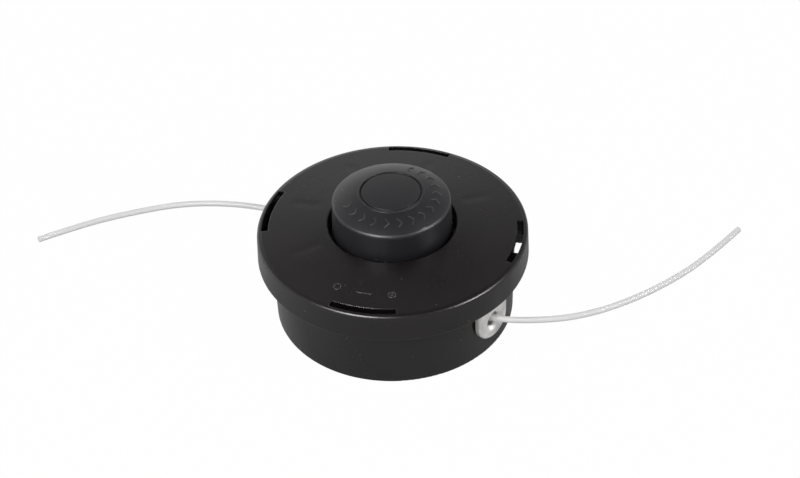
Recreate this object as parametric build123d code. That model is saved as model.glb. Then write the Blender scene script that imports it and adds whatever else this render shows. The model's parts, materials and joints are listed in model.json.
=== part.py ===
from build123d import *
import math
import os

# Bump-feed line trimmer head, standing knob up on the face that meets the gearbox.
# Millimetres and degrees. +Z runs along the spindle towards the knob, and the origin
# lies on the spindle, on the gearbox face.

# Clearances
SEAT_GAP = 0.3            # between a moving piece and the face that stops it
RUNNING_GAP = 0.1         # spool bore on the post, and knob on its collar
LOCK_GAP = 0.3            # between the twist-lock lugs, and round an eyelet in its slot
JOIN = 0.5                # how far a lug or rib is rooted in the wall that carries it

# Cover: a shallow cap with a skirt, locked on by a twist
COVER_R = 55.6            # at the skirt's lower edge
RIM_FLARE = 0.45          # how far the skirt opens out towards that edge
RIM_EDGE_FILLET = 0.4
RIM_WALL = 1.6            # skirt wall at its top
RIM_H = 11.7
COVER_RISE = 3.15         # from the edge of the top plate up to the knob hole
COVER_PLATE = 2.4
COVER_EDGE_FILLET = 1.5
COVER_RIB = 1.6
COVER_RIBS = 8
HOLE_COLLAR_WALL = 2.0
HOLE_EDGE_FILLET = 0.6
SEAT_RING_W = 3.4         # ring under the plate that closes the housing's mouth

# Twist lock, repeated round the rim, angles from the first slot's end
LOCKS = 4
LOCK_ROOM = 3.7           # gap between the housing's mouth and the skirt
LOCK_REACH = 0.8          # cover lugs and slots to the housing's mouth
LOCK_LUG_H = 2.2
SLOT_START = -28.9
SLOT_SWEEP = 29.2
COVER_LUG_SWEEP = 19.4
HOUSING_LUG_START = -31.0
HOUSING_LUG_SWEEP = 18.3
STOP_WEB_SWEEP = 1.7
GUIDE_RIB_START = 0.5
GUIDE_RIB_SWEEP = 2.5
GUIDE_RIB_DEPTH = 2.0
SLOT_LEDGE = 0.15         # left at the skirt's inside wall beside a slot

# Housing: a cup with a round hole in its floor for the hub
HOUSING_WALL = 2.6
HOUSING_DRAFT = 0.8
FLOOR = 3.0
BASE_FILLET = 0.9
MOUTH_FILLET = 0.5
REST_RING_W = 9.4         # flat outer ring of the gearbox face
RECESS = 1.2              # hollow between that ring and the hub seat
BASE_RIBS = 8
BASE_RIB = 1.6

# Hub: a flanged post for the spool, pressed in through the housing's floor
HUB_FLANGE_W = 1.4        # flange beyond the spring boss
HUB_GAP = 0.1
POST_WALL = 2.6           # outside the corners of the nut pocket
POST_LEAD = 0.8
SPRING_BOSS_H = 2.0
SPRING_BOSS_W = 3.1

# Drive nut, left-hand M10 with a fine thread
NUT_FLATS = 17.0
NUT_H = 8.0
NUT_THREAD_R = 4.325      # minor radius
NUT_SEAT = 4.0            # plastic under the nut
NUT_GAP = 0.1
SHAFT_HOLE_R = 5.3

# Spool and its ratchet lugs
TRAVEL = 6.0              # how far a bump presses the knob in
FLANGE = 1.8
FLANGE_GAP = 3.7          # from the flanges to the housing wall
GROOVE_H = 8.8
DRUM_WALL = 2.2
SLEEVE_WALL = 2.4
SLEEVE_H = 10.0
WEB = 2.4
WEB_DROP = 3.0            # from the top flange down to the web
COLLAR_H = 9.0
COLLAR_SLOTS = 4
COLLAR_SLOT_W = 4.0
COLLAR_SLOT_H = 5.5
BEAD = 0.4                # snap ring that holds the knob
BEAD_H = 3.6
NOTCHES = 2
NOTCH_W = 3.0
NOTCH_DEPTH = 9.0
RATCHET_LUGS = 6
RATCHET_SWEEP = 6.0
RATCHET_W = 4.9
UPPER_LUG_H = 1.8
UPPER_LUG_START = 31.0
UPPER_LUG_LAG = 6.5       # spool lug behind the cover lug that stops it
LOWER_LUG_H = 2.7
LOWER_LUG_START = 0.0
LOWER_LUG_LEAD = 15.0
LOWER_LUG_R = 30.0
HEADROOM = 5.0            # from the spool's top flange to the cover's edge

# Return spring and its washer
SPRING_WIRE = 1.8
SPRING_TURNS = 5.0
SPRING_GAP = 0.6          # spring inside to the boss it stands round
WASHER = 1.0
WASHER_GAP = 0.1

# Bump knob
KNOB_GAP = 1.47           # skirt to the cover's hole
KNOB_WALL = 3.1
KNOB_DRAFT = 1.7
KNOB_H = 19.1             # spool's top flange to the knob's shoulder
KNOB_CROWN = 3.9          # shoulder to the ring groove
KNOB_CENTRE = 0.7         # ring groove to the middle of the crown
KNOB_BULGE = 0.45
KNOB_EDGE_FILLET = 1.5
RING_R = 12.55
RING_W = 1.4
RING_DEPTH = 0.6
COLLAR_SHOULDER = 1.6

# Eyelets: metal guides where the line leaves the housing
EYELET_ANGLES = {"eyelet_right": -41.4, "eyelet_left": 138.6}
EYELET_Z = 18.1           # centre of the round lower end and of the hole
EYELET_HALF_W = 8.6
EYELET_PLATE = 2.9
EYELET_STANDOUT = 2.65    # outer face beyond the housing wall at the floor of the rim
EYELET_TOP_GAP = 0.5      # under the cover's skirt
EYELET_NECK_HALF_W = 6.2
EYELET_BACK_HALF_W = 7.6
EYELET_BACK = 1.4
EYELET_HOLE_R = 3.3
EYELET_MOUTH_FILLET = 2.2
EYELET_BACK_FILLET = 1.2
EYELET_EDGE_FILLET = 1.5

# Cutting line
LINE_D = 2.5
LINE_Z = 18.5             # free ends, a little above the middle of the eyelet holes
WINDING_R = 38.0
WINDING_TURNS = 3
WINDING_GAP = 0.05
LINE_ROUTES = {
    "line_right": [
        (32.2, -30.9), (40.2, -34.5), (54.0, -36.2), (72.0, -35.2),
        (91.0, -28.5), (110.0, -17.5), (128.5, -3.0), (145.6, 15.6),
    ],
    "line_left": [
        (-32.2, 30.9), (-39.9, 35.3), (-54.5, 42.3), (-73.0, 46.6),
        (-92.0, 47.0), (-111.5, 42.5), (-131.5, 36.0), (-150.6, 26.4),
    ],
}

# Radii worked out from the sizes above
RIM_OUT_R = COVER_R - RIM_FLARE
RIM_IN_R = RIM_OUT_R - RIM_WALL
MOUTH_R = RIM_IN_R - LOCK_ROOM
SLOT_IN_R = MOUTH_R + LOCK_REACH
SEAT_IN_R = SLOT_IN_R - LOCK_GAP - SEAT_RING_W
POST_R = (NUT_FLATS / 2 + NUT_GAP) / math.cos(math.radians(30)) + POST_WALL
SPRING_BOSS_R = POST_R + SPRING_BOSS_W
HUB_FLANGE_R = SPRING_BOSS_R + HUB_FLANGE_W
SPRING_R = SPRING_BOSS_R + SPRING_GAP + SPRING_WIRE / 2
BORE_R = POST_R + RUNNING_GAP
SLEEVE_R = BORE_R + SLEEVE_WALL
DRUM_IN_R = SPRING_R + SPRING_WIRE / 2 + 2 * SPRING_GAP
DRUM_R = DRUM_IN_R + DRUM_WALL
KNOB_R = DRUM_R + RUNNING_GAP + KNOB_WALL
KNOB_HOLE_R = KNOB_R + KNOB_GAP
HOLE_COLLAR_R = KNOB_HOLE_R + HOLE_COLLAR_WALL
UPPER_LUG_R = HOLE_COLLAR_R + SEAT_GAP

# Heights worked out from the sizes above
LOWER_LUG_Z = FLOOR + SEAT_GAP + TRAVEL
LOWER_FLANGE_Z = LOWER_LUG_Z + LOWER_LUG_H
MIDDLE_FLANGE_Z = LOWER_FLANGE_Z + FLANGE + GROOVE_H
UPPER_FLANGE_Z = MIDDLE_FLANGE_Z + FLANGE + GROOVE_H
SPOOL_TOP_Z = UPPER_FLANGE_Z + FLANGE
COLLAR_TOP_Z = SPOOL_TOP_Z + COLLAR_H
WEB_TOP_Z = SPOOL_TOP_Z - WEB_DROP
WEB_Z = WEB_TOP_Z - WEB
SLEEVE_Z = SPOOL_TOP_Z - SLEEVE_H
COVER_EDGE_Z = SPOOL_TOP_Z + HEADROOM
RIM_Z = COVER_EDGE_Z - RIM_H
SEAT_Z = COVER_EDGE_Z - COVER_PLATE
MOUTH_Z = SEAT_Z - SEAT_GAP
POST_TOP_Z = SPOOL_TOP_Z + POST_LEAD
COVER_HOLE_Z = COVER_EDGE_Z + COVER_RISE
COVER_LUG_Z = SPOOL_TOP_Z + SEAT_GAP
SHOULDER_Z = SPOOL_TOP_Z + KNOB_H
RING_Z = SHOULDER_Z + KNOB_CROWN
HOUSING_LUG_Z = RIM_Z + LOCK_LUG_H + LOCK_GAP
EYELET_FACE = MOUTH_R + EYELET_STANDOUT


def housing_r(z):
    """Outside radius of the drafted housing wall at a height."""
    return MOUTH_R - (MOUTH_Z - z) * math.tan(math.radians(HOUSING_DRAFT))


def plate_top(radius):
    """Height of the cover's coned top plate at a radius."""
    return COVER_EDGE_Z + COVER_RISE * (RIM_OUT_R - radius) / (RIM_OUT_R - KNOB_HOLE_R)


def at(radius, degrees, z=0.0):
    """Point at a radius and an angle round the spindle."""
    turn = math.radians(degrees)
    return (radius * math.cos(turn), radius * math.sin(turn), z)


def outline(points):
    """Closed face in the plane through the spindle, from (radius, height) points."""
    return make_face(Polyline(*[(r, 0, z) for r, z in points], close=True))


def turned(points, sweep=360.0):
    """Solid turned about the spindle from a closed outline."""
    return revolve(outline(points), Axis.Z, sweep)


def sector(inner, outer, start, sweep, low, high):
    """Block between two radii, two angles and two heights."""
    corners = [(inner, low), (outer, low), (outer, high), (inner, high)]
    return Rot(0, 0, start) * turned(corners, sweep)


def ring_of(count, piece):
    """Copies of a piece, evenly spaced round the spindle."""
    return [Rot(0, 0, 360.0 * i / count) * piece for i in range(count)]


def circles(part, radius, z):
    """Circular edges round the spindle with that radius and height."""
    return [
        e
        for e in part.edges().filter_by(GeomType.CIRCLE)
        if abs(e.radius - radius) < 0.01 and abs(e.arc_center.Z - z) < 0.01
    ]


def u_plate(half_width, top, near, far, angle):
    """Plate with a round lower end, square to the radius, between two distances from the spindle."""
    face = Pos(0, EYELET_Z) * Circle(half_width)
    face += Pos(0, (EYELET_Z + top) / 2) * Rectangle(2 * half_width, top - EYELET_Z)
    place = Plane(origin=at(near, angle), x_dir=at(1, angle + 90), z_dir=at(1, angle))
    return extrude(place * face, far - near)


def make_housing():
    rest_in = housing_r(0) - REST_RING_W
    hole_r = SPRING_BOSS_R + HUB_GAP
    cup = turned([
        (hole_r, RECESS), (rest_in, RECESS), (rest_in, 0), (housing_r(0), 0),
        (MOUTH_R, MOUTH_Z), (MOUTH_R - HOUSING_WALL, MOUTH_Z),
        (housing_r(FLOOR) - HOUSING_WALL, FLOOR), (hole_r, FLOOR),
    ])
    cup = fillet(circles(cup, housing_r(0), 0), BASE_FILLET)
    cup = fillet(circles(cup, MOUTH_R, MOUTH_Z), MOUTH_FILLET)
    rib_in = HUB_FLANGE_R + SEAT_GAP
    rib_out = rest_in + JOIN
    rib = Pos((rib_in + rib_out) / 2, 0, (RECESS + JOIN) / 2) * Box(rib_out - rib_in, BASE_RIB, RECESS + JOIN)
    cup += ring_of(BASE_RIBS, rib)
    cam = sector(
        LOWER_LUG_R, LOWER_LUG_R + RATCHET_W, LOWER_LUG_START, RATCHET_SWEEP,
        FLOOR - JOIN, FLOOR + LOWER_LUG_H,
    )
    cup += ring_of(RATCHET_LUGS, cam)
    lug_in = housing_r(RIM_Z) - JOIN
    lug_out = RIM_IN_R - LOCK_GAP
    lug = sector(
        lug_in, lug_out, HOUSING_LUG_START, HOUSING_LUG_SWEEP,
        HOUSING_LUG_Z, HOUSING_LUG_Z + LOCK_LUG_H,
    )
    lug += sector(lug_in, lug_out, HOUSING_LUG_START, STOP_WEB_SWEEP, RIM_Z + LOCK_GAP, HOUSING_LUG_Z + JOIN)
    cup += ring_of(LOCKS, lug)
    inside = MOUTH_R - 2 * HOUSING_WALL
    for angle in EYELET_ANGLES.values():
        cup -= u_plate(EYELET_NECK_HALF_W + LOCK_GAP, MOUTH_Z + JOIN, inside, COVER_R, angle)
    return cup


def make_hub():
    boss_top = FLOOR + SPRING_BOSS_H
    post = turned([
        (SHAFT_HOLE_R, 0), (HUB_FLANGE_R, 0), (HUB_FLANGE_R, RECESS), (SPRING_BOSS_R, RECESS),
        (SPRING_BOSS_R, boss_top), (POST_R, boss_top), (POST_R, POST_TOP_Z - POST_LEAD),
        (POST_R - POST_LEAD, POST_TOP_Z), (SHAFT_HOLE_R, POST_TOP_Z),
    ])
    pocket = RegularPolygon(NUT_FLATS / 2 + NUT_GAP, 6, major_radius=False)
    return post - extrude(Pos(0, 0, NUT_SEAT) * pocket, POST_TOP_Z - NUT_SEAT)


def make_cover():
    cap = turned([
        (KNOB_HOLE_R, plate_top(KNOB_HOLE_R)), (RIM_OUT_R, COVER_EDGE_Z), (COVER_R, RIM_Z), (RIM_IN_R, RIM_Z),
        (RIM_IN_R, SEAT_Z), (SEAT_IN_R, SEAT_Z), (SEAT_IN_R, plate_top(SEAT_IN_R) - COVER_PLATE),
        (HOLE_COLLAR_R, plate_top(HOLE_COLLAR_R) - COVER_PLATE), (HOLE_COLLAR_R, SEAT_Z), (KNOB_HOLE_R, SEAT_Z),
    ])
    cap = fillet(circles(cap, RIM_OUT_R, COVER_EDGE_Z), COVER_EDGE_FILLET)
    cap = fillet(circles(cap, KNOB_HOLE_R, COVER_HOLE_Z), HOLE_EDGE_FILLET)
    cap = fillet(circles(cap, COVER_R, RIM_Z), RIM_EDGE_FILLET)
    rib_in = HOLE_COLLAR_R - JOIN
    rib_out = SEAT_IN_R + JOIN
    rib_face = outline([
        (rib_in, SEAT_Z), (rib_out, SEAT_Z), (rib_out, plate_top(rib_out) - COVER_PLATE + JOIN),
        (rib_in, plate_top(rib_in) - COVER_PLATE + JOIN),
    ])
    rib = Rot(0, 0, 180.0 / COVER_RIBS) * extrude(rib_face, COVER_RIB / 2, both=True)
    cap += ring_of(COVER_RIBS, rib)
    cam_out = UPPER_LUG_R + RATCHET_W
    cam = sector(
        HOLE_COLLAR_R - JOIN, cam_out, UPPER_LUG_START, RATCHET_SWEEP,
        COVER_LUG_Z, plate_top(cam_out) - COVER_PLATE + JOIN,
    )
    cap += ring_of(RATCHET_LUGS, cam)
    guide = sector(
        RIM_IN_R - GUIDE_RIB_DEPTH, RIM_IN_R + JOIN, GUIDE_RIB_START, GUIDE_RIB_SWEEP,
        RIM_Z, SEAT_Z + JOIN,
    )
    cap += ring_of(LOCKS, guide)
    slot = sector(SLOT_IN_R, RIM_IN_R - SLOT_LEDGE, SLOT_START, SLOT_SWEEP, SEAT_Z - JOIN, COVER_HOLE_Z)
    cap -= ring_of(LOCKS, slot)
    lug = sector(SLOT_IN_R, RIM_IN_R + JOIN, SLOT_START, COVER_LUG_SWEEP, RIM_Z, RIM_Z + LOCK_LUG_H)
    return cap + ring_of(LOCKS, lug)


def make_spool():
    flange_r = MOUTH_R - HOUSING_WALL - FLANGE_GAP
    bead_z = SPOOL_TOP_Z + BEAD_H
    reel = turned([
        (BORE_R, SLEEVE_Z), (SLEEVE_R, SLEEVE_Z), (SLEEVE_R, WEB_Z), (DRUM_IN_R, WEB_Z),
        (DRUM_IN_R, LOWER_FLANGE_Z), (flange_r, LOWER_FLANGE_Z), (flange_r, LOWER_FLANGE_Z + FLANGE),
        (DRUM_R, LOWER_FLANGE_Z + FLANGE), (DRUM_R, MIDDLE_FLANGE_Z), (flange_r, MIDDLE_FLANGE_Z),
        (flange_r, MIDDLE_FLANGE_Z + FLANGE), (DRUM_R, MIDDLE_FLANGE_Z + FLANGE), (DRUM_R, UPPER_FLANGE_Z),
        (flange_r, UPPER_FLANGE_Z), (flange_r, SPOOL_TOP_Z), (DRUM_R, SPOOL_TOP_Z),
        (DRUM_R, bead_z - BEAD), (DRUM_R + BEAD, bead_z), (DRUM_R, bead_z + BEAD),
        (DRUM_R, COLLAR_TOP_Z), (DRUM_IN_R, COLLAR_TOP_Z), (DRUM_IN_R, WEB_TOP_Z),
        (SLEEVE_R, WEB_TOP_Z), (SLEEVE_R, SPOOL_TOP_Z), (BORE_R, SPOOL_TOP_Z),
    ])
    notch = Pos(flange_r - NOTCH_DEPTH / 2, 0, MIDDLE_FLANGE_Z + FLANGE / 2) * Box(
        NOTCH_DEPTH + JOIN, NOTCH_W, 2 * FLANGE
    )
    reel -= ring_of(NOTCHES, notch)
    collar_slot = Pos(DRUM_R, 0, COLLAR_TOP_Z - COLLAR_SLOT_H / 2) * Box(
        4 * DRUM_WALL, COLLAR_SLOT_W, COLLAR_SLOT_H
    )
    reel -= ring_of(COLLAR_SLOTS, collar_slot)
    lower = sector(
        LOWER_LUG_R, LOWER_LUG_R + RATCHET_W, LOWER_LUG_START + LOWER_LUG_LEAD, RATCHET_SWEEP,
        LOWER_LUG_Z, LOWER_FLANGE_Z + JOIN,
    )
    upper = sector(
        UPPER_LUG_R, UPPER_LUG_R + RATCHET_W, UPPER_LUG_START - UPPER_LUG_LAG, RATCHET_SWEEP,
        SPOOL_TOP_Z - JOIN, SPOOL_TOP_Z + UPPER_LUG_H,
    )
    return reel + ring_of(RATCHET_LUGS, lower) + ring_of(RATCHET_LUGS, upper)


def knob_wall_r(z):
    """Outside radius of the knob's drafted skirt at a height."""
    return KNOB_R - (z - SPOOL_TOP_Z) * math.tan(math.radians(KNOB_DRAFT))


def make_knob():
    foot_z = SPOOL_TOP_Z + SEAT_GAP
    foot_in = DRUM_R + RUNNING_GAP
    upper_in = foot_in - COLLAR_SHOULDER - RUNNING_GAP
    shoulder_r = knob_wall_r(SHOULDER_Z)
    ring_in = RING_R - RING_W / 2
    ring_out = RING_R + RING_W / 2
    roof_z = SHOULDER_Z - KNOB_WALL
    slope = KNOB_CROWN / (shoulder_r - ring_out)
    bulge_r = (shoulder_r + ring_out) / 2
    bead_z = SPOOL_TOP_Z + BEAD_H

    def point(r, z):
        return (r, 0, z)

    crown = [
        Line(point(0, roof_z + KNOB_CROWN), point(0, RING_Z + KNOB_CENTRE)),
        ThreePointArc(
            point(0, RING_Z + KNOB_CENTRE),
            point(ring_in / 2, RING_Z + 0.8 * KNOB_CENTRE),
            point(ring_in, RING_Z + 0.2 * KNOB_CENTRE),
        ),
        Line(point(ring_in, RING_Z + 0.2 * KNOB_CENTRE), point(ring_in, RING_Z - RING_DEPTH)),
        Line(point(ring_in, RING_Z - RING_DEPTH), point(ring_out, RING_Z - RING_DEPTH)),
        Line(point(ring_out, RING_Z - RING_DEPTH), point(ring_out, RING_Z)),
        ThreePointArc(
            point(ring_out, RING_Z),
            point(bulge_r, RING_Z - slope * (bulge_r - ring_out) + KNOB_BULGE),
            point(shoulder_r, SHOULDER_Z),
        ),
    ]
    skirt = Polyline(
        point(shoulder_r, SHOULDER_Z), point(knob_wall_r(foot_z), foot_z), point(foot_in, foot_z),
        point(foot_in, bead_z - BEAD), point(foot_in + BEAD, bead_z), point(foot_in, bead_z + BEAD),
        point(foot_in, COLLAR_TOP_Z), point(upper_in, COLLAR_TOP_Z), point(upper_in, roof_z),
        point(ring_in, roof_z + KNOB_CROWN), point(0, roof_z + KNOB_CROWN),
    )
    dome = revolve(make_face(crown + [skirt]), Axis.Z)
    dome = fillet(circles(dome, shoulder_r, SHOULDER_Z), KNOB_EDGE_FILLET)
    key_w = COLLAR_SLOT_W - 2 * LOCK_GAP
    key_z = COLLAR_TOP_Z - COLLAR_SLOT_H + LOCK_GAP
    key_length = DRUM_WALL + RUNNING_GAP + JOIN
    key = Pos(foot_in + JOIN - key_length / 2, 0, (key_z + COLLAR_TOP_Z + JOIN) / 2) * Box(
        key_length, key_w, COLLAR_TOP_Z + JOIN - key_z
    )
    return dome + ring_of(COLLAR_SLOTS, key)


def make_nut():
    hexagon = extrude(Pos(0, 0, NUT_SEAT) * RegularPolygon(NUT_FLATS / 2, 6, major_radius=False), NUT_H)
    corner_r = NUT_FLATS / 2 / math.cos(math.radians(30))
    chamfer_h = (corner_r - NUT_FLATS / 2) / 2
    blank = turned([
        (NUT_THREAD_R, NUT_SEAT), (NUT_FLATS / 2, NUT_SEAT), (corner_r, NUT_SEAT + chamfer_h),
        (corner_r, NUT_SEAT + NUT_H - chamfer_h), (NUT_FLATS / 2, NUT_SEAT + NUT_H),
        (NUT_THREAD_R, NUT_SEAT + NUT_H),
    ])
    return hexagon & blank


def make_washer():
    top = WEB_Z - WASHER_GAP
    inner = SLEEVE_R + SEAT_GAP
    outer = DRUM_IN_R - SEAT_GAP
    return turned([(inner, top - WASHER), (outer, top - WASHER), (outer, top), (inner, top)])


def make_spring():
    low = FLOOR + WASHER_GAP
    high = WEB_Z - 2 * WASHER_GAP - WASHER
    pitch = (high - low) / SPRING_TURNS
    path = Pos(0, 0, low) * Helix(pitch, high - low, SPRING_R)
    section = Plane(origin=path @ 0, z_dir=path % 0) * Circle(SPRING_WIRE / 2)
    wire = sweep(section, path, is_frenet=True)
    inner = SPRING_R - SPRING_WIRE
    outer = SPRING_R + SPRING_WIRE
    return wire & turned([(inner, low), (outer, low), (outer, high), (inner, high)])


def make_eyelet(angle):
    top = RIM_Z - EYELET_TOP_GAP
    inner_top = MOUTH_Z - LOCK_GAP
    back_r = housing_r(0) - HOUSING_WALL
    back_face = math.sqrt(back_r**2 - EYELET_BACK_HALF_W**2) - RUNNING_GAP
    plate = u_plate(EYELET_HALF_W, top, EYELET_FACE - EYELET_PLATE, EYELET_FACE, angle)
    front = plate.faces().sort_by(Axis((0, 0, 0), at(1, angle)))[-1]
    plate = fillet(front.edges(), EYELET_EDGE_FILLET)
    plate += u_plate(EYELET_NECK_HALF_W, inner_top, back_face - JOIN, EYELET_FACE - EYELET_PLATE + JOIN, angle)
    plate += u_plate(EYELET_BACK_HALF_W, inner_top, back_face - EYELET_BACK, back_face, angle)
    near = back_face - EYELET_BACK
    place = Plane(origin=at(near, angle, EYELET_Z), x_dir=at(1, angle + 90), z_dir=at(1, angle))
    plate -= extrude(place * Circle(EYELET_HOLE_R), EYELET_FACE - near)
    mouths = [e for e in plate.edges().filter_by(GeomType.CIRCLE) if abs(e.radius - EYELET_HOLE_R) < 0.01]
    mouths.sort(key=lambda e: e.arc_center.length)
    plate = fillet([mouths[-1]], EYELET_MOUTH_FILLET)
    mouths = [e for e in plate.edges().filter_by(GeomType.CIRCLE) if abs(e.radius - EYELET_HOLE_R) < 0.01]
    mouths.sort(key=lambda e: e.arc_center.length)
    return fillet([mouths[0]], EYELET_BACK_FILLET)


def make_winding(flange_z):
    """Wound line in one groove, with its outer turns showing as ridges."""
    low = flange_z + FLANGE + WINDING_GAP
    turn_h = (GROOVE_H - 2 * WINDING_GAP) / WINDING_TURNS
    inner = DRUM_R + WINDING_GAP
    valley = WINDING_R - LINE_D / 2
    edges = [Line((inner, 0, low), (valley, 0, low))]
    for i in range(WINDING_TURNS):
        z = low + i * turn_h
        edges.append(ThreePointArc((valley, 0, z), (WINDING_R, 0, z + turn_h / 2), (valley, 0, z + turn_h)))
    high = low + WINDING_TURNS * turn_h
    edges.append(Polyline((valley, 0, high), (inner, 0, high), (inner, 0, low)))
    return revolve(make_face(edges), Axis.Z)


def make_line(name):
    """Free end of cutting line: straight runs with the largest tangent arcs that fit."""
    points = [Vector(x, y, LINE_Z) for x, y in LINE_ROUTES[name]]
    runs = [b - a for a, b in zip(points, points[1:])]
    radii = []
    for before, after in zip(runs, runs[1:]):
        half_turn = math.radians(before.get_angle(after)) / 2
        radii.append(0.45 * min(before.length, after.length) / math.tan(half_turn))
    path = FilletPolyline(*points, radius=radii)
    section = Plane(origin=path @ 0, z_dir=path % 0) * Circle(LINE_D / 2)
    tube = sweep(section, path)
    print(name, "length", round(path.length, 1), "radii", [round(r) for r in radii])
    print(name, "volume / section x length", round(tube.volume / (section.area * path.length), 5))
    return tube


def main():
    pieces = {
        "housing": make_housing(),
        "hub": make_hub(),
        "cover": make_cover(),
        "bump_knob": make_knob(),
        "spool": make_spool(),
        "return_spring": make_spring(),
        "thrust_washer": make_washer(),
        "drive_nut": make_nut(),
        "winding_lower": make_winding(LOWER_FLANGE_Z),
        "winding_upper": make_winding(MIDDLE_FLANGE_Z),
    }
    for name, angle in EYELET_ANGLES.items():
        pieces[name] = make_eyelet(angle)
    for name in LINE_ROUTES:
        pieces[name] = make_line(name)
    os.makedirs("parts", exist_ok=True)
    for name, piece in pieces.items():
        export_step(piece, f"parts/{name}.step")


main()
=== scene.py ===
"""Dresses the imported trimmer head: black mouldings, bare metal, cutting line and a studio."""

import json
import math

import bmesh
import bpy
from bpy.props import FloatProperty, FloatVectorProperty, IntProperty, PointerProperty
from mathutils import Matrix, Vector


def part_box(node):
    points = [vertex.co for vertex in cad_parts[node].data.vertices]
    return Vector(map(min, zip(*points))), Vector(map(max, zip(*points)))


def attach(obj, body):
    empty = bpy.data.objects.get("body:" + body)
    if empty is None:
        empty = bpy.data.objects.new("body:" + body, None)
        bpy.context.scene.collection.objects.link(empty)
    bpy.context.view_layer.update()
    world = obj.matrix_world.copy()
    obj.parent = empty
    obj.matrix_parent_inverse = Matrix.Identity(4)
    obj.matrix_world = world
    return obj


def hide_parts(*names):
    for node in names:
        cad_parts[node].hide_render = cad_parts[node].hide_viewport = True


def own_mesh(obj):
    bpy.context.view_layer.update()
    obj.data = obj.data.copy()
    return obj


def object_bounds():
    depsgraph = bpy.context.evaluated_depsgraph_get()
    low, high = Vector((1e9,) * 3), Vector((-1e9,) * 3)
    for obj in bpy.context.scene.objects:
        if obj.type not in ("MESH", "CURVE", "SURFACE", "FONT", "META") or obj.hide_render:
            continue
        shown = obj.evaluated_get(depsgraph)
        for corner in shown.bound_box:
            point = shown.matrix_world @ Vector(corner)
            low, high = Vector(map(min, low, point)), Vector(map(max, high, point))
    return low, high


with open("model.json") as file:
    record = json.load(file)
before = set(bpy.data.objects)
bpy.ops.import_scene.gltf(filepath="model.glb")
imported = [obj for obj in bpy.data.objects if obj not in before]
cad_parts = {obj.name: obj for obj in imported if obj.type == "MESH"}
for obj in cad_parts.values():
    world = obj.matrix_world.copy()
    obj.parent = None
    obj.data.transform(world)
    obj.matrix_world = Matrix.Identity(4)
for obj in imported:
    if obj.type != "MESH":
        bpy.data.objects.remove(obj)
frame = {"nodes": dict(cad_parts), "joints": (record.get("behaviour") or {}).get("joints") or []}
CAD_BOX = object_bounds()

bl_info = {
    "name": "Trimmer head dressing",
    "version": (1, 0, 0),
    "blender": (4, 5, 0),
    "location": "3D View > Sidebar > Trimmer head",
    "description": "Finishes, cutting line, moulded marks and studio for a bump-feed trimmer head",
    "category": "Object",
}

MM = 0.001
ORIGIN = (0.0, 0.0, 0.0)
UP = (0.0, 0.0, 1.0)
SMOOTH_ANGLE = math.radians(40.0)

# Side of the square that flat pieces start from, in metres; gap that is welded, in millimetres
SQUARE = 1.0
WELD = 0.001

# Routes of the free line ends, in millimetres, all at the height of the eyelet holes
LINE_Z = 18.5
LINE_ROUTES = {
    "right": [
        (32.2, -30.9), (40.2, -34.5), (54.0, -36.2), (72.0, -35.2),
        (91.0, -28.5), (110.0, -17.5), (128.5, -3.0), (145.6, 15.6),
    ],
    "left": [
        (-32.2, 30.9), (-39.9, 35.3), (-54.5, 42.3), (-73.0, 46.6),
        (-92.0, 47.0), (-111.5, 42.5), (-131.5, 36.0), (-150.6, 26.4),
    ],
}
LINE_ROUNDNESS = 6
LINE_STEPS = 12

# Patterns in the finishes: size in millimetres, detail and its strength
CLOUD = (22.0, 3.0, 0.5)
SMEAR = (5.0, 4.0, 0.6)
GRAIN = (0.35, 2.0, 0.5)
METAL_CLOUD = (4.0, 3.0, 0.5)
SCRATCH = (0.25, 3.0, 0.6)
STREAK = (0.5, 2.0, 0.5)
NYLON_CLOUD = (9.0, 2.0, 0.5)

# Depth of the smears, in depths of the grain
SMEAR_DEPTH = 2.0

# Noise levels between which a patch goes from one tone to the other
PATCH = (0.3, 0.7)

# Darkest and lightest tone of each finish, as shares of its colour
BLACK_TONES = (0.85, 1.15)
METAL_TONES = (0.9, 1.05)
NYLON_TONES = (0.985, 1.01)

# What the patterns change of each finish's roughness: all over, in clouds and in smears
BLACK_ROUGHNESS = (-0.06, 0.08, 0.05)
METAL_ROUGHNESS = (-0.05, 0.1)
NYLON_ROUGHNESS = 0.1

# Nylon: how its streaks are stretched on each axis, and their share beside the clouds
STREAK_STRETCH = (0.03, 0.03, 1.0)
STREAK_SHARE = 0.6

# Dust: spacing in millimetres, edge of a speck as shares of it, lots past which a place has one
DUST_PITCH = 3.2
DUST_EDGE = (0.04, 0.08)
DUST_LOTS = (0.8, 0.81)
DUST_COLOUR = (0.26, 0.255, 0.25)

# Sink lines over the ribs of the cover, in millimetres; they fade towards the front right
COVER_RIBS = 8
SINK_STARTS = (30.0, 34.0)
SINK_ENDS = (41.0, 46.0)
SINK_WIDTH = 3.6
SINK_FADES = (25.0, 40.0)

# Radii of the shallow step down to the cover's rounded rim, in millimetres
STEP_RADII = (52.9, 53.9)

# Samples of the rounded edges
EDGE_SAMPLES = 6

# Refractive index of the two plastics
BLACK_IOR = 1.46
NYLON_IOR = 1.4

# Arrowheads and ring lip on the knob, in millimetres and degrees about the spindle
ARROW_ARC = (-163.0, 62.0)
ARROW_RADIUS = 18.3
LIP_RADII = (12.55, 13.6)
LIP_SIDES = 96

# Lock signs on the cover: an open ring, a dash and a ring with a dot
SIGN_RADIUS = 43.4
OPEN_SIGN = -121.0
DASH_SIGN = (-110.0, -102.0)
LOCKED_SIGN = -91.5
SIGN_RING = 1.7
SIGN_DOT = 0.7
SIGN_SIDES = 28
DASH_CUTS = 7
SIGN_STROKE = 0.8
SIGN_RELIEF = 0.9

# Rounding of a mark's edges, as a share of its relief
MARK_ROUNDING = 0.3
LIP_ROUNDING = 0.9
ROUNDING_SEGMENTS = 2

# Height at which flat marks are drawn before they are laid on the moulding below
MARK_Z = CAD_BOX[1][2] + 5.0 * MM

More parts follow.
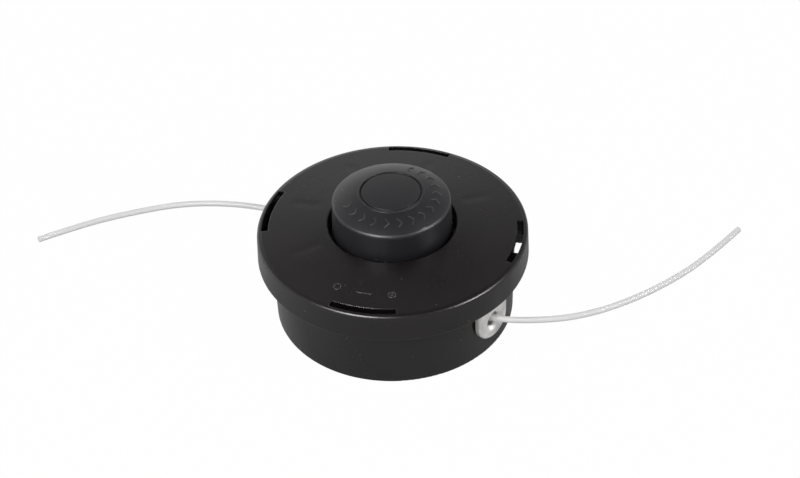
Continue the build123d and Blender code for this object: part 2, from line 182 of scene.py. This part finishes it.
# Inner edges of the cover's guide ribs, in millimetres and degrees
GUIDES = 4
GUIDE_STEPS = 4
GUIDE_FROM = 0.6
GUIDE_SWEEP = 2.3
GUIDE_Z = (28.5, 38.3)
GUIDE_RADII = (50.25, 51.8)

# Facets of the return spring
WIRE_SIDES = 16
COIL_STEPS = 32

# Lamps: place and size in metres, power in watts
LAMPS = {
    "front_left_box": ((-0.5, -0.8, 1.0), (0.5, 0.42), 10.0),
    "front_right_box": ((1.0, -0.42, 0.9), (0.36, 0.36), 6.0),
}

# Floor: grey of its paper; centre and radii, in metres, where its white comes into reflections
PAPER_GREY = 0.5
SHEEN_CENTRE = 0.025
SHEEN_RADII = (0.085, 0.24)

# Level of the studio's wall by the sine of the height looked at
WALL_LEVELS = [
    (0.0, 1.0), (0.12, 0.95), (0.42, 0.72), (0.56, 0.52),
    (0.7, 0.36), (0.82, 0.24), (0.9, 0.22), (0.985, 0.05),
]

# How that level changes across and in depth: two places and the factors there
WALL_LEFT = (-0.75, 0.15, 1.5, 0.95)
WALL_RIGHT = (0.1, 0.6, 1.0, 0.7)
WALL_FRONT = (-0.5, 0.3, 0.5, 1.0)

# Bright panel behind: level, then azimuth, elevation, inner and outer angle in degrees
BACK_PANEL = (1.2, 105.0, 67.0, 6.0, 15.0)

# Panels that show in reflections only, given in the same way
LEFT_EDGE_PANEL = (46.0, -127.0, 47.0, 12.5, 17.0)
RIGHT_EDGE_PANEL = (44.0, -17.0, 40.0, 8.0, 14.0)

# Width of the camera's sensor, in millimetres
SENSOR = 36.0


def colour_property(name, description, default):
    return FloatVectorProperty(
        name=name, description=description, default=default,
        size=3, min=0.0, max=1.0, subtype="COLOR",
    )


def length_property(name, description, default):
    return FloatProperty(
        name=name, description=description, default=default, min=0.0, subtype="DISTANCE"
    )


def share_property(name, description, default):
    return FloatProperty(
        name=name, description=description, default=default, min=0.0, max=1.0, subtype="FACTOR"
    )


def angle_property(name, description, degrees):
    return FloatProperty(
        name=name, description=description, default=math.radians(degrees), subtype="ANGLE"
    )


class LineSettings(bpy.types.PropertyGroup):
    """Cutting line"""

    diameter: length_property("Line", "Thickness of the cutting line", 2.5 * MM)
    colour: colour_property("Nylon", "Colour of the line", (0.8, 0.795, 0.8))
    roughness: share_property("Roughness", "Least roughness of the line", 0.4)
    clear: share_property("Clear", "Share of the light that passes through the line", 0.08)


class PlasticSettings(bpy.types.PropertyGroup):
    """Black mouldings"""

    cover: colour_property("Cover", "Colour of the cover", (0.0066, 0.0050, 0.0056))
    housing: colour_property("Housing", "Colour of the housing", (0.0084, 0.0068, 0.0070))
    # The raised strokes get a lighter colour than the moulding: a painted highlight for the light that
    # their edges catch
    stroke_highlight: colour_property("Rubbed", "Colour of the raised strokes", (0.036, 0.034, 0.034))
    knob: colour_property("Knob", "Colour of the knob", (0.0101, 0.0095, 0.0113))
    roughness: share_property("Roughness", "Mean roughness", 0.28)
    wear: share_property("Wear", "Roughness that use adds to the knob and strokes", 0.12)
    grain: length_property("Grain", "Depth of the moulded grain", 0.006 * MM)
    sink: length_property("Sink", "Depth of the sink lines over the ribs", 0.09 * MM)
    step: length_property("Step", "Depth of the step inside the cover's rim", 0.16 * MM)
    edge: length_property("Edge", "Radius of the moulded edges", 0.3 * MM)
    cover_edge: length_property("Cover edge", "Radius of the cover's edges", 0.6 * MM)
    worn_edge: length_property("Worn edge", "Radius of the knob's worn edges", 0.7 * MM)


class MarkSettings(bpy.types.PropertyGroup):
    """Moulded marks"""

    arrows: IntProperty(
        name="Arrowheads", description="Arrowheads round the knob", default=15, min=2
    )
    height: length_property("Height", "Height of an arrowhead", 3.7 * MM)
    lean: length_property("Lean", "How far an arrowhead's tip stands forward", 1.5 * MM)
    stroke: length_property("Stroke", "Width of a moulded stroke", 0.62 * MM)
    relief: length_property("Relief", "How far the marks stand up", 0.32 * MM)
    lip: length_property("Lip", "How far the lip round the knob's ring stands up", 0.2 * MM)


class MetalSettings(bpy.types.PropertyGroup):
    """Eyelets and the hidden steel"""

    eyelet: colour_property("Eyelets", "Colour of the bare eyelets", (0.84, 0.825, 0.81))
    eyelet_roughness: share_property("Eyelet roughness", "Mean roughness of the eyelets", 0.48)
    eyelet_scratch: length_property("Eyelet scratch", "Depth of the eyelets' scratches", 0.012 * MM)
    steel: colour_property("Steel", "Colour of the spring, washer and nut", (0.5, 0.5, 0.51))
    steel_roughness: share_property("Steel roughness", "Mean roughness of the steel", 0.3)
    steel_scratch: length_property("Steel scratch", "Depth of the steel's scratches", 0.005 * MM)
    wire: length_property("Wire", "Thickness of the spring's wire", 1.8 * MM)
    turns: IntProperty(name="Turns", description="Turns of the spring", default=5, min=1)


class StageSettings(bpy.types.PropertyGroup):
    """Camera and floor"""

    aim: FloatVectorProperty(
        name="Aim", description="Point at the middle of the view",
        default=(2.923 * MM, 0.0, 33.273 * MM), size=3, subtype="TRANSLATION",
    )
    distance: length_property("Distance", "Camera to aim", 744.825 * MM)
    azimuth: angle_property("Azimuth", "Turn of the view to the right", 0.2562)
    elevation: angle_property("Elevation", "How far the camera looks down", 39.8209)
    roll: angle_property("Roll", "Roll of the camera", -1.9907)
    lens: FloatProperty(
        name="Lens", description="Focal length in millimetres", default=81.934, unit="CAMERA"
    )
    floor: length_property("Floor", "Side of the floor", 1.3)
    white: share_property("White", "Share of the floor that stays white in view", 0.992)
    mirrored: share_property("Mirrored", "Share of that white in reflections nearby", 0.1)


class Socket:
    """A shader socket that works in Python sums: each operator adds one Math node."""

    def __init__(self, finish, socket):
        self.finish = finish
        self.socket = socket

    def other(self, output):
        """Another output of the same node."""
        return Socket(self.finish, self.socket.node.outputs[output])

    def maths(self, operation, *others):
        sockets = dict(enumerate((self,) + others))
        return self.finish.node("ShaderNodeMath", {"operation": operation}, sockets)

    def __add__(self, other):
        return self.maths("ADD", other)

    __radd__ = __add__

    def __mul__(self, other):
        return self.maths("MULTIPLY", other)

    __rmul__ = __mul__

    def __sub__(self, other):
        return self.maths("SUBTRACT", other)

    def __rsub__(self, other):
        return self.finish.node("ShaderNodeMath", {"operation": "SUBTRACT"}, {0: other, 1: self})


class Finish:
    """One procedural node tree, built node by node."""

    def __init__(self, tree):
        self.tree = tree
        self.tree.nodes.clear()

    def node(self, kind, settings=None, sockets=None, output=0):
        """Adds a node: its settings first, then the values or links of its sockets."""
        made = self.tree.nodes.new(kind)
        for key, value in (settings or {}).items():
            if key == "stops":
                ramp = made.color_ramp
                while len(ramp.elements) < len(value):
                    ramp.elements.new(1.0)
                for element, (place, colour) in zip(ramp.elements, value):
                    element.position = place
                    element.color = colour
            else:
                setattr(made, key, value)
        for key, value in (sockets or {}).items():
            if isinstance(value, Socket):
                self.tree.links.new(value.socket, made.inputs[key])
            else:
                made.inputs[key].default_value = value
        return Socket(self, made.outputs[output]) if made.outputs else None

    def where(self):
        """Place on the object."""
        return self.node("ShaderNodeTexCoord", output="Object")

    def axes(self, vector):
        """The three parts of a vector."""
        first = self.node("ShaderNodeSeparateXYZ", None, {0: vector})
        return [first.other(part) for part in range(3)]

    def radius(self, x, y):
        """Distance from the axis of two coordinates."""
        return (x * x + y * y).maths("SQRT")

    def panel(self, direction, level, azimuth, elevation, inner, outer):
        """A level within the inner angle of a direction, falling to 0 at the outer angle."""
        azimuth, elevation = math.radians(azimuth), math.radians(elevation)
        inner, outer = math.radians(inner), math.radians(outer)
        centre = (
            math.cos(elevation) * math.cos(azimuth),
            math.cos(elevation) * math.sin(azimuth),
            math.sin(elevation),
        )
        sockets = {0: direction, 1: centre}
        facing = self.node("ShaderNodeVectorMath", {"operation": "DOT_PRODUCT"}, sockets, "Value")
        return level * self.step(facing, math.cos(outer), math.cos(inner))

    def noise(self, vector, size, detail, roughness):
        """Noise whose blotches are about that size in millimetres."""
        scale = 1.0 / (size * MM)
        sockets = {"Vector": vector, "Scale": scale, "Detail": detail, "Roughness": roughness}
        return self.node("ShaderNodeTexNoise", None, sockets)

    def step(self, value, low, high, first=0.0, last=1.0):
        """Smooth step from first to last as the value goes from low to high."""
        sockets = {
            "Value": value, "From Min": low, "From Max": high, "To Min": first, "To Max": last
        }
        return self.node("ShaderNodeMapRange", {"interpolation_type": "SMOOTHSTEP"}, sockets)

    def blend(self, factor, first, second):
        """Mix of two colours."""
        sockets = {0: factor, 6: first, 7: second}
        return self.node("ShaderNodeMix", {"data_type": "RGBA"}, sockets, 2)

    def patches(self, noise, colour, dark, light):
        """A colour that goes from a darker to a lighter tone in soft patches."""
        return self.blend(self.step(noise, *PATCH), rgba(colour, dark), rgba(colour, light))

    def bump(self, height, depth, edge=0.0):
        """Normal from a height; edges look rounded to the edge radius."""
        sockets = {"Height": height, "Distance": depth, "Strength": 1.0}
        if edge:
            rounded = self.node("ShaderNodeBevel", {"samples": EDGE_SAMPLES}, {"Radius": edge})
            sockets["Normal"] = rounded
        return self.node("ShaderNodeBump", None, sockets)

    def surface(self, **sockets):
        """Principled surface; socket names are written in lower case with underscores."""
        named = {key.replace("_", " ").title(): value for key, value in sockets.items()}
        if "Ior" in named:
            named["IOR"] = named.pop("Ior")
        shader = self.node("ShaderNodeBsdfPrincipled", None, named)
        self.node("ShaderNodeOutputMaterial", None, {"Surface": shader})


def new_finish(name):
    """A new material and the node tree to build it in."""
    material = bpy.data.materials.new(name)
    material.use_nodes = True
    return material, Finish(material.node_tree)


def rgba(colour, gain=1.0):
    return (colour[0] * gain, colour[1] * gain, colour[2] * gain, 1.0)


def grey(level):
    return (level, level, level, 1.0)


def put_on(material, *nodes):
    """Gives a finish to CAD nodes."""
    for name in nodes:
        for slot in frame["nodes"][name].material_slots:
            slot.material = material


def dust(finish, where):
    """Sparse pale specks, a few tenths of a millimetre across."""
    sockets = {"Vector": where, "Scale": 1.0 / (DUST_PITCH * MM)}
    away = finish.node("ShaderNodeTexVoronoi", None, sockets, "Distance")
    lot = finish.axes(away.other("Color"))[0]
    return finish.step(away, *DUST_EDGE, 1.0, 0.0) * finish.step(lot, *DUST_LOTS)


def sink_lines(finish, where):
    """Radial hollows on the top plate, one over each rib under it."""
    x, y = finish.axes(where)[:2]
    radius = finish.radius(x, y)
    pitch = 2.0 * math.pi / COVER_RIBS
    off = (y.maths("ARCTAN2", x) + pitch * COVER_RIBS).maths("PINGPONG", pitch / 2.0)
    across = (pitch / 2.0 - off) * radius
    along = finish.step(radius, SINK_STARTS[0] * MM, SINK_STARTS[1] * MM)
    along = along * finish.step(radius, SINK_ENDS[0] * MM, SINK_ENDS[1] * MM, 1.0, 0.0)
    along = along * finish.step(x - y, SINK_FADES[0] * MM, SINK_FADES[1] * MM, 1.0, 0.0)
    return finish.step(across, 0.0, SINK_WIDTH * MM, 1.0, 0.0) * along


def rim_step(finish, where):
    """0 on the cover's top plate, 1 past the shallow step inside its rim."""
    x, y = finish.axes(where)[:2]
    return finish.step(finish.radius(x, y), STEP_RADII[0] * MM, STEP_RADII[1] * MM)


def black_plastic(name, colour, settings, edge, wear=0.0, covers=False):
    """Satin injection-moulded black: fine grain, soft flow marks and a little dust."""
    material, finish = new_finish(name)
    where = finish.where()
    cloud = finish.noise(where, *CLOUD)
    smear = finish.noise(where, *SMEAR)
    tone = finish.patches(cloud, colour, *BLACK_TONES)
    tone = finish.blend(dust(finish, where), tone, rgba(DUST_COLOUR))
    overall, clouded, smeared = BLACK_ROUGHNESS
    rough = settings.roughness + wear + overall + clouded * cloud + smeared * smear
    height = finish.noise(where, *GRAIN) * settings.grain
    height = height + smear * (SMEAR_DEPTH * settings.grain)
    if covers:
        height = height - sink_lines(finish, where) * settings.sink
        height = height - rim_step(finish, where) * settings.step
    normal = finish.bump(height, 1.0, edge)
    finish.surface(base_color=tone, roughness=rough, normal=normal, ior=BLACK_IOR)
    return material


def bare_metal(name, colour, roughness, scratch):
    """Bare metal, tumbled dull, with faint scratches."""
    material, finish = new_finish(name)
    where = finish.where()
    cloud = finish.noise(where, *METAL_CLOUD)
    fine = finish.noise(where, *SCRATCH)
    tone = finish.patches(cloud, colour, *METAL_TONES)
    overall, clouded = METAL_ROUGHNESS
    rough = roughness + overall + clouded * cloud
    normal = finish.bump(fine, scratch)
    finish.surface(base_color=tone, metallic=1.0, roughness=rough, normal=normal)
    return material


def nylon(name, settings):
    """Milky white nylon, with faint level streaks."""
    material, finish = new_finish(name)
    where = finish.where()
    sockets = {0: where, 1: STREAK_STRETCH}
    drawn = finish.node("ShaderNodeVectorMath", {"operation": "MULTIPLY"}, sockets)
    streak = finish.noise(drawn, *STREAK)
    cloud = finish.noise(where, *NYLON_CLOUD)
    mixed = streak * STREAK_SHARE + cloud * (1.0 - STREAK_SHARE)
    tone = finish.patches(mixed, settings.colour, *NYLON_TONES)
    finish.surface(
        base_color=tone, roughness=settings.roughness + NYLON_ROUGHNESS * cloud,
        ior=NYLON_IOR, transmission_weight=settings.clear,
    )
    return material


class HEAD_OT_cutting_line(bpy.types.Operator):
    """Lays the two free ends of cutting line along their routes"""

    bl_idname = "trimmer_head.cutting_line"
    bl_label = "Cutting line"

    def execute(self, context):
        settings = context.scene.head_line
        material = nylon("clear_nylon", settings)
        for side, route in LINE_ROUTES.items():
            curve = bpy.data.curves.new(f"cutting_line_{side}", "CURVE")
            curve.dimensions = "3D"
            curve.bevel_depth = settings.diameter / 2.0
            curve.bevel_resolution = LINE_ROUNDNESS
            curve.use_fill_caps = True
            spline = curve.splines.new("NURBS")
            spline.points.add(len(route) - 1)
            for point, (x, y) in zip(spline.points, route):
                point.co = (x * MM, y * MM, LINE_Z * MM, 1.0)
            spline.order_u = 3
            spline.use_endpoint_u = True
            spline.resolution_u = LINE_STEPS
            line = bpy.data.objects.new(f"cutting_line_{side}", curve)
            context.collection.objects.link(line)
            curve.materials.append(material)
            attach(line, "housing")
            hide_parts(f"line_{side}")
        put_on(material, "winding_lower", "winding_upper")
        return {"FINISHED"}


class HEAD_OT_mouldings(bpy.types.Operator):
    """Finishes the black plastic mouldings"""

    bl_idname = "trimmer_head.mouldings"
    bl_label = "Black mouldings"

    def execute(self, context):
        settings = context.scene.head_plastic
        cover = black_plastic(
            "cover_black", settings.cover, settings, settings.cover_edge, covers=True
        )
        put_on(cover, "cover")
        housing = black_plastic("housing_black", settings.housing, settings, settings.edge)
        put_on(housing, "housing", "hub", "spool")
        knob = black_plastic(
            "knob_black", settings.knob, settings, settings.worn_edge, settings.wear
        )
        put_on(knob, "bump_knob")
        # Material of the raised strokes, whose lighter base colour is a painted highlight
        black_plastic("highlit_stroke_black", settings.stroke_highlight, settings, settings.edge, settings.wear)
        return {"FINISHED"}


def pick(test):
    """Selects the vertices of the edited mesh whose place passes a test."""
    mesh = bpy.context.object.data
    shape = bmesh.from_edit_mesh(mesh)
    for vertex in shape.verts:
        vertex.select_set(test(vertex.co))
    shape.select_flush(True)
    bmesh.update_edit_mesh(mesh)


def turn(degrees):
    """Turns the selection anticlockwise from above; with no window the operator counts the other way."""
    angle = -math.radians(degrees)
    bpy.ops.transform.rotate(value=angle, orient_axis="Z", center_override=ORIGIN)


def round_spindle(radius, degrees, height):
    """A point at a radius in millimetres, an angle about the spindle and a height in metres."""
    angle = math.radians(degrees)
    return Vector((radius * MM * math.cos(angle), radius * MM * math.sin(angle), height))


def start_plane(name):
    """Starts a piece as a flat square, in edit mode."""
    bpy.ops.object.select_all(action="DESELECT")
    bpy.ops.mesh.primitive_plane_add(size=SQUARE, enter_editmode=True)
    bpy.context.object.name = name


def hollow(share, centre):
    """Makes a flat ring of the selected circle, in to that share of its radius."""
    bpy.ops.mesh.extrude_edges_move()
    bpy.ops.transform.resize(value=(share, share, 1.0), center_override=centre)


def mould_on(target, relief, rounding):
    """Lays the flat marks on the moulding below them, if one is named, and raises them."""
    bpy.ops.object.mode_set(mode="OBJECT")
    mark = bpy.context.object
    if target:
        lay = mark.modifiers.new("lay", "SHRINKWRAP")
        lay.target = frame["nodes"][target]
        lay.wrap_method = "PROJECT"
        lay.use_project_z = True
        lay.use_positive_direction = False
        lay.use_negative_direction = True
    raised = mark.modifiers.new("raise", "SOLIDIFY")
    # Half of the thickness is sunk in the moulding
    raised.thickness = 2.0 * relief
    raised.offset = 0.0
    soft = mark.modifiers.new("soften", "BEVEL")
    soft.width = rounding
    soft.segments = ROUNDING_SEGMENTS
    for modifier in mark.modifiers.keys():
        bpy.ops.object.modifier_apply(modifier=modifier)
    bpy.ops.object.mode_set(mode="EDIT")
    bpy.ops.mesh.select_all(action="SELECT")
    bpy.ops.mesh.normals_make_consistent(inside=False)
    bpy.ops.object.mode_set(mode="OBJECT")
    bpy.ops.object.shade_smooth_by_angle(angle=SMOOTH_ANGLE)
    return mark


def finish_piece(piece, material, body):
    """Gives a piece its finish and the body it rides."""
    piece.data.materials.append(bpy.data.materials[material])
    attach(piece, body)


class HEAD_OT_marks(bpy.types.Operator):
    """Raises the arrowheads and ring lip on the knob and the lock signs on the cover"""

    bl_idname = "trimmer_head.marks"
    bl_label = "Moulded marks"

    def execute(self, context):
        settings = context.scene.head_marks
        self.arrowheads(settings)
        self.ring_lip(settings)
        self.lock_signs(settings)
        return {"FINISHED"}

    def arrowheads(self, settings):
        height = settings.height
        start_plane("knob_arrowheads")
        bpy.ops.transform.resize(value=(height, settings.stroke, 1.0))
        # Three cuts make quarters: the middle becomes the tip, and its neighbours go half as far
        bpy.ops.mesh.subdivide(number_cuts=3)
        quarter = height / 4.0
        pick(lambda place: abs(place.x) < quarter / 2.0)
        bpy.ops.transform.translate(value=(0.0, settings.lean, 0.0))
        pick(lambda place: quarter / 2.0 < abs(place.x) < quarter * 1.5)
        bpy.ops.transform.translate(value=(0.0, settings.lean / 2.0, 0.0))
        bpy.ops.mesh.select_all(action="SELECT")
        bpy.ops.transform.translate(value=(ARROW_RADIUS * MM, 0.0, MARK_Z))
        turn(ARROW_ARC[0])
        sweep = math.radians(ARROW_ARC[1] - ARROW_ARC[0])
        bpy.ops.mesh.spin(
            steps=settings.arrows - 1, dupli=True, angle=-sweep, center=ORIGIN, axis=UP
        )
        piece = mould_on("bump_knob", settings.relief, MARK_ROUNDING * settings.relief)
        # The arrowheads take the stroke material with the painted highlight
        finish_piece(piece, "highlit_stroke_black", "reel")

    def ring_lip(self, settings):
        inner, outer = LIP_RADII
        knob = frame["nodes"]["bump_knob"]
        hit, place = knob.ray_cast((outer * MM, 0.0, MARK_Z), (0.0, 0.0, -1.0))[:2]
        if not hit:
            raise RuntimeError("The knob has no crown under the ring lip")
        bpy.ops.object.select_all(action="DESELECT")
        bpy.ops.mesh.primitive_circle_add(
            vertices=LIP_SIDES, radius=outer * MM, location=ORIGIN, enter_editmode=True
        )
        bpy.context.object.name = "knob_ring_lip"
        hollow(inner / outer, ORIGIN)
        bpy.ops.mesh.select_all(action="SELECT")
        bpy.ops.transform.translate(value=(0.0, 0.0, place.z))
        piece = mould_on(None, settings.lip, LIP_ROUNDING * settings.lip)
        finish_piece(piece, "knob_black", "reel")

    def lock_signs(self, settings):
        stroke = SIGN_STROKE * settings.stroke
        length = math.radians(DASH_SIGN[1] - DASH_SIGN[0]) * SIGN_RADIUS * MM
        start_plane("cover_lock_signs")
        bpy.ops.transform.resize(value=(stroke, length, 1.0))
        bpy.ops.mesh.subdivide(number_cuts=DASH_CUTS)
        bpy.ops.transform.translate(value=(SIGN_RADIUS * MM, 0.0, MARK_Z))
        turn((DASH_SIGN[0] + DASH_SIGN[1]) / 2.0)
        rings = ((OPEN_SIGN, SIGN_RING), (LOCKED_SIGN, SIGN_RING), (LOCKED_SIGN, SIGN_DOT))
        for angle, radius in rings:
            centre = round_spindle(SIGN_RADIUS, angle, MARK_Z)
            bpy.ops.mesh.select_all(action="DESELECT")
            bpy.ops.mesh.primitive_circle_add(
                vertices=SIGN_SIDES, radius=radius * MM, location=centre
            )
            hollow(1.0 - stroke / (radius * MM), centre)
        piece = mould_on(
            "cover", SIGN_RELIEF * settings.relief, MARK_ROUNDING * settings.relief
        )
        # The lock signs take the stroke material with the painted highlight
        finish_piece(piece, "highlit_stroke_black", "cover")


class HEAD_OT_guide_edges(bpy.types.Operator):
    """Draws the cover's guide ribs in to the housing's mouth"""

    bl_idname = "trimmer_head.guide_edges"
    bl_label = "Guide rib edges"

    def execute(self, context):
        inner, outer = (radius * MM for radius in GUIDE_RADII)
        low, high = (height * MM for height in GUIDE_Z)
        start_plane("cover_guide_edges")
        bpy.ops.transform.resize(value=(outer - inner, 1.0, 1.0))
        bpy.ops.mesh.select_mode(type="VERT")
        pick(lambda place: place.y > 0.0)
        bpy.ops.mesh.delete(type="VERT")
        bpy.ops.mesh.select_all(action="SELECT")
        bpy.ops.transform.translate(value=((inner + outer) / 2.0, SQUARE / 2.0, low))
        turn(GUIDE_FROM)
        bpy.ops.mesh.spin(
            steps=GUIDE_STEPS, angle=-math.radians(GUIDE_SWEEP), center=ORIGIN, axis=UP
        )
        bpy.ops.mesh.select_all(action="SELECT")
        bpy.ops.mesh.extrude_region_move(
            TRANSFORM_OT_translate={"value": (0.0, 0.0, high - low)}
        )
        bpy.ops.mesh.select_all(action="SELECT")
        bpy.ops.mesh.remove_doubles(threshold=WELD * MM)
        bpy.ops.mesh.normals_make_consistent(inside=False)
        bpy.ops.mesh.spin(
            steps=GUIDES - 1, dupli=True, angle=math.radians(360.0 - 360.0 / GUIDES),
            center=ORIGIN, axis=UP,
        )
        bpy.ops.object.mode_set(mode="OBJECT")
        finish_piece(bpy.context.object, "cover_black", "cover")
        return {"FINISHED"}


class HEAD_OT_metal(bpy.types.Operator):
    """Finishes the eyelets and the steel inside"""

    bl_idname = "trimmer_head.metal"
    bl_label = "Bare metal"

    def execute(self, context):
        settings = context.scene.head_metal
        eyelet = bare_metal(
            "eyelet_metal", settings.eyelet, settings.eyelet_roughness, settings.eyelet_scratch
        )
        put_on(eyelet, "eyelet_right", "eyelet_left")
        steel = bare_metal(
            "drawn_steel", settings.steel, settings.steel_roughness, settings.steel_scratch
        )
        put_on(steel, "thrust_washer", "drive_nut")
        return {"FINISHED"}


class HEAD_OT_return_spring(bpy.types.Operator):
    """Coils the return spring, which in the real head shortens as the knob is bumped; the coil made here
    keeps its length
    """

    bl_idname = "trimmer_head.return_spring"
    bl_label = "Return spring"

    def execute(self, context):
        settings = context.scene.head_metal
        low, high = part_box("return_spring")
        length = high[2] - low[2]
        wire_radius = settings.wire / 2.0
        bpy.ops.object.select_all(action="DESELECT")
        bpy.ops.mesh.primitive_circle_add(
            vertices=WIRE_SIDES, radius=wire_radius, enter_editmode=True
        )
        spring = bpy.context.object
        spring.name = "coiled_return_spring"
        bpy.ops.transform.rotate(value=math.pi / 2.0, orient_axis="X", center_override=ORIGIN)
        bpy.ops.transform.translate(value=(high[0] - wire_radius, 0.0, low[2]))
        bpy.ops.object.mode_set(mode="OBJECT")
        coil = spring.modifiers.new("coil", "SCREW")
        coil.iterations = settings.turns
        coil.screw_offset = length / settings.turns
        coil.steps = coil.render_steps = COIL_STEPS
        bpy.ops.object.modifier_apply(modifier="coil")
        bpy.ops.object.mode_set(mode="EDIT")
        for height, below in ((low[2], True), (high[2], False)):
            bpy.ops.mesh.select_all(action="SELECT")
            bpy.ops.mesh.bisect(
                plane_co=(0.0, 0.0, height), plane_no=UP, use_fill=True,
                clear_inner=below, clear_outer=not below,
            )
        bpy.ops.mesh.select_all(action="SELECT")
        bpy.ops.mesh.fill_holes(sides=0)
        bpy.ops.mesh.select_all(action="SELECT")
        bpy.ops.mesh.normals_make_consistent(inside=False)
        bpy.ops.object.mode_set(mode="OBJECT")
        bpy.ops.object.shade_smooth_by_angle(angle=SMOOTH_ANGLE)
        finish_piece(spring, "drawn_steel", "housing")
        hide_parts("return_spring")
        bump = next(joint for joint in frame["joints"] if joint["name"] == "bump_travel")
        travel = -bump["range_m"][0]
        1.0 - travel / length
        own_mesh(spring)
        return {"FINISHED"}


def soft_box(name, place, aim, size, power):
    """Hangs a rectangular lamp that faces the aim."""
    bpy.ops.object.light_add(type="AREA", location=place)
    lamp = bpy.context.object
    lamp.name = name
    lamp.rotation_euler = (aim - Vector(place)).to_track_quat("-Z", "Y").to_euler()
    lamp.data.shape = "RECTANGLE"
    lamp.data.size, lamp.data.size_y = size
    lamp.data.energy = power


class HEAD_OT_studio(bpy.types.Operator):
    """Sets the floor, lamps, world and camera"""

    bl_idname = "trimmer_head.studio"
    bl_label = "Studio"

    def execute(self, context):
        settings = context.scene.head_stage
        self.floor(settings)
        self.world(context.scene)
        for name, (place, size, power) in LAMPS.items():
            soft_box(name, place, Vector(settings.aim), size, power)
        self.camera(context.scene, settings)
        context.scene.view_settings.view_transform = "Standard"
        return {"FINISHED"}

    def floor(self, settings):
        """Grey paper that looks white in view, and in reflections mostly away from the head."""
        bpy.ops.mesh.primitive_plane_add(size=settings.floor)
        floor = bpy.context.object
        floor.name = "studio_floor"
        material, finish = new_finish("floor_white")
        camera = finish.node("ShaderNodeLightPath", output="Is Camera Ray")
        through = camera.other("Is Transmission Ray")
        x, y = finish.axes(finish.where())[:2]
        away = finish.radius(x - SHEEN_CENTRE, y)
        sheen = finish.step(away, *SHEEN_RADII, settings.mirrored, 1.0)
        seen = camera.maths("MAXIMUM", through) * settings.white
        seen = seen + camera.other("Is Glossy Ray") * sheen
        paper = finish.node("ShaderNodeBsdfDiffuse", None, {"Color": grey(PAPER_GREY)})
        glow = finish.node("ShaderNodeEmission", None, {"Color": grey(1.0), "Strength": 1.0})
        shown = finish.node("ShaderNodeMixShader", None, {0: seen, 1: paper, 2: glow})
        finish.node("ShaderNodeOutputMaterial", None, {"Surface": shown})
        floor.data.materials.append(material)

    def world(self, scene):
        """White in view; to other rays a wall, brightest at the left, under a dark ceiling."""
        world = bpy.data.worlds.new("studio_world")
        world.use_nodes = True
        scene.world = world
        finish = Finish(world.node_tree)
        direction = finish.node("ShaderNodeTexCoord", output="Generated")
        across, depth, height = finish.axes(direction)
        stops = [(place, grey(level)) for place, level in WALL_LEVELS]
        wall = finish.node("ShaderNodeValToRGB", {"stops": stops}, {0: height})
        side = finish.step(across, *WALL_LEFT) * finish.step(depth, *WALL_FRONT)
        side = side * finish.step(across, *WALL_RIGHT)
        camera = finish.node("ShaderNodeLightPath", output="Is Camera Ray")
        through = camera.other("Is Transmission Ray")
        edges = finish.panel(direction, *LEFT_EDGE_PANEL)
        edges = edges + finish.panel(direction, *RIGHT_EDGE_PANEL)
        level = side + finish.panel(direction, *BACK_PANEL)
        level = level + camera.other("Is Glossy Ray") * edges
        dim = finish.node("ShaderNodeBackground", None, {"Color": wall, "Strength": level})
        white = finish.node("ShaderNodeBackground", None, {"Color": grey(1.0), "Strength": 1.0})
        seen = camera.maths("MAXIMUM", through)
        shown = finish.node("ShaderNodeMixShader", None, {0: seen, 1: dim, 2: white})
        finish.node("ShaderNodeOutputWorld", None, {"Surface": shown})

    def camera(self, scene, settings):
        azimuth, elevation, roll = settings.azimuth, settings.elevation, settings.roll
        forward = Vector((
            math.sin(azimuth) * math.cos(elevation),
            math.cos(azimuth) * math.cos(elevation),
            -math.sin(elevation),
        ))
        level = Vector((math.cos(azimuth), -math.sin(azimuth), 0.0))
        lift = level.cross(forward)
        right = math.cos(roll) * level + math.sin(roll) * lift
        up = math.cos(roll) * lift - math.sin(roll) * level
        facing = Matrix((right, up, -forward)).transposed().to_4x4()
        place = Vector(settings.aim) - settings.distance * forward
        bpy.ops.object.camera_add()
        camera = bpy.context.object
        camera.name = "photo_camera"
        camera.data.lens = settings.lens
        camera.data.sensor_width = SENSOR
        camera.matrix_world = Matrix.Translation(place) @ facing
        scene.camera = camera


class HEAD_PT_panel(bpy.types.Panel):
    """Lists the dressing steps"""

    bl_label = "Trimmer head"
    bl_idname = "HEAD_PT_panel"
    bl_space_type = "VIEW_3D"
    bl_region_type = "UI"
    bl_category = "Trimmer head"

    def draw(self, context):
        for operator in OPERATORS:
            self.layout.operator(operator.bl_idname)


SETTINGS = {
    "head_line": LineSettings,
    "head_plastic": PlasticSettings,
    "head_marks": MarkSettings,
    "head_metal": MetalSettings,
    "head_stage": StageSettings,
}
OPERATORS = [
    HEAD_OT_cutting_line, HEAD_OT_mouldings, HEAD_OT_marks, HEAD_OT_guide_edges, HEAD_OT_metal,
    HEAD_OT_return_spring, HEAD_OT_studio,
]


def register():
    for group in SETTINGS.values():
        bpy.utils.register_class(group)
    for operator in OPERATORS:
        bpy.utils.register_class(operator)
    bpy.utils.register_class(HEAD_PT_panel)
    for name, group in SETTINGS.items():
        setattr(bpy.types.Scene, name, PointerProperty(type=group))


def unregister():
    for name in SETTINGS:
        delattr(bpy.types.Scene, name)
    bpy.utils.unregister_class(HEAD_PT_panel)
    for operator in reversed(OPERATORS):
        bpy.utils.unregister_class(operator)
    for group in reversed(list(SETTINGS.values())):
        bpy.utils.unregister_class(group)


def main():
    register()
    bpy.ops.object.select_all(action="DESELECT")
    bpy.ops.trimmer_head.cutting_line()
    bpy.ops.trimmer_head.mouldings()
    bpy.ops.trimmer_head.marks()
    bpy.ops.trimmer_head.guide_edges()
    bpy.ops.trimmer_head.metal()
    bpy.ops.trimmer_head.return_spring()
    bpy.ops.trimmer_head.studio()


if __name__ == "__main__":
    main()
